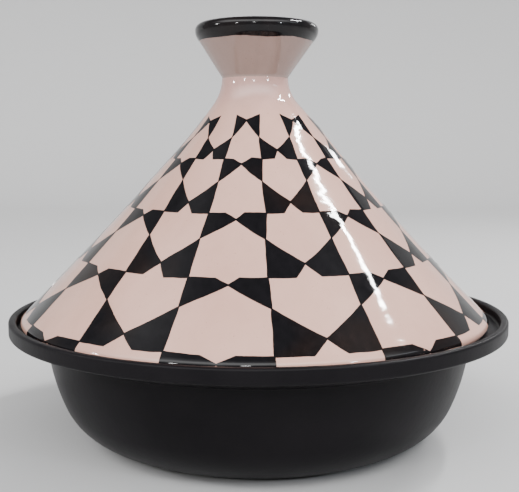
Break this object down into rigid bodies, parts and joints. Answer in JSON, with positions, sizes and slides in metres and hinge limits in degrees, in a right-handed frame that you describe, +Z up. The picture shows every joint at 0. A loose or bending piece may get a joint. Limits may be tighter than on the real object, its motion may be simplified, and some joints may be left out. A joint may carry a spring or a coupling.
{
  "type": "tagine pot",
  "caption": "Round shallow cooking dish with a flared rim and a loose tall conical lid that ends in a cup-shaped knob.",
  "frame": {"origin": "centre of the foot ring's resting face, on the dish's axis", "axes": "+Z up along the axis of the dish and lid; the pot is round, so +X and +Y are free, with the pictured side facing -Y"},
  "size_m": [0.3, 0.3, 0.2492],
  "materials": {
    "dish_enamel": "satin-matte black enamel over cast iron",
    "lid_glaze": "glossy warm white glaze with hand-painted black glaze pattern"
  },
  "bodies": {
    "dish": {"dish": "dish_enamel"},
    "lid": {"lid_cone": "lid_glaze", "lid_knob": "lid_glaze"}
  },
  "joints": [
    {"name": "lid_lift", "type": "slide", "parent": "dish", "child": "lid", "axis": [0, 0, 1], "range_m": [0, 0.18]}
  ]
}
